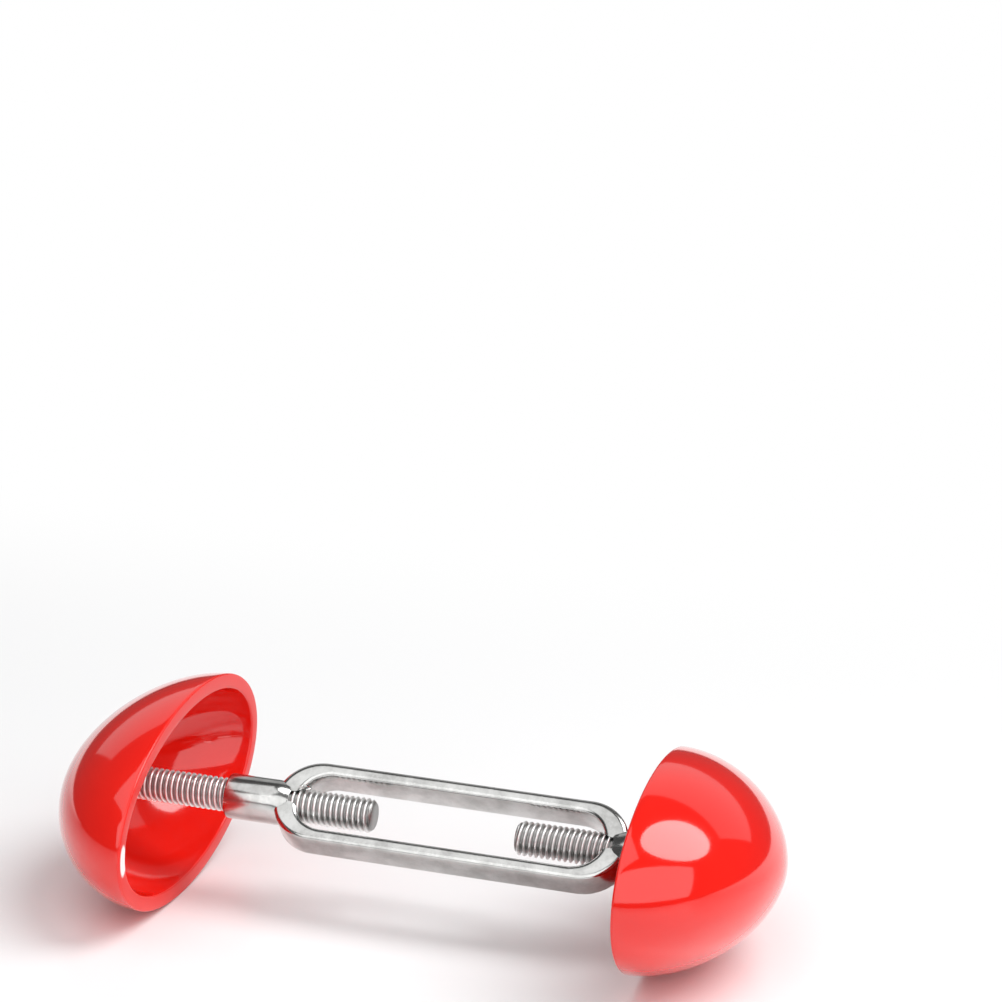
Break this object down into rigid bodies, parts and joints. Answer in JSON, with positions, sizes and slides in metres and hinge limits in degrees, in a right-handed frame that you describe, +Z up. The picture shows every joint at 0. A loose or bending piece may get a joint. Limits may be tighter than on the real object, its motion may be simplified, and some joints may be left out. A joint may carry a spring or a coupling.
{
  "type": "shoe stretcher",
  "caption": "Small shoe widener: domed red plastic heads on threaded rods, pushed apart by turning the slotted metal turnbuckle frame between them.",
  "frame": {"origin": "on the resting surface, under the middle of the overall length", "axes": "+X along the screw axis from the left head to the right head, +Z up, +Y away from the pictured side"},
  "size_m": [0.1006, 0.0508, 0.0284],
  "materials": {
    "red_plastic": "glossy injection-moulded plastic in a bright warm red",
    "cast_zinc": "zinc die casting with a bright plated face, satin and slightly mottled on its sides",
    "threaded_steel": "bright zinc-plated steel with a rolled metric thread",
    "nut_steel": "zinc-plated steel"
  },
  "bodies": {
    "left_head": {"left_head": "red_plastic", "left_nut": "nut_steel"},
    "left_screw": {"left_screw": "threaded_steel"},
    "frame": {"turnbuckle_frame": "cast_zinc"},
    "right_screw": {"right_screw": "threaded_steel"},
    "right_head": {"right_head": "red_plastic", "right_nut": "nut_steel"}
  },
  "joints": [
    {"name": "frame_turn", "type": "hinge", "parent": "left_head", "child": "left_screw", "pos_m": [-0.0449, 0, 0.01421], "axis": [1, 0, 0], "range_deg": [-2520, 4680]},
    {"name": "left_thread", "type": "slide", "parent": "left_screw", "child": "frame", "axis": [1, 0, 0], "range_m": [-0.0058, 0.0106]},
    {"name": "right_thread", "type": "slide", "parent": "frame", "child": "right_screw", "axis": [1, 0, 0], "range_m": [-0.0058, 0.0106]},
    {"name": "right_head_hold", "type": "hinge", "parent": "right_screw", "child": "right_head", "pos_m": [0.0449, 0, 0.01421], "axis": [1, 0, 0], "range_deg": [-4740, 2580]}
  ],
  "couplings": [
    {"joint": "left_thread", "follows": "frame_turn", "m_per_rad": 0.00012732},
    {"joint": "right_thread", "follows": "frame_turn", "m_per_rad": 0.00012732},
    {"joint": "right_head_hold", "follows": "frame_turn", "ratio": -1}
  ]
}
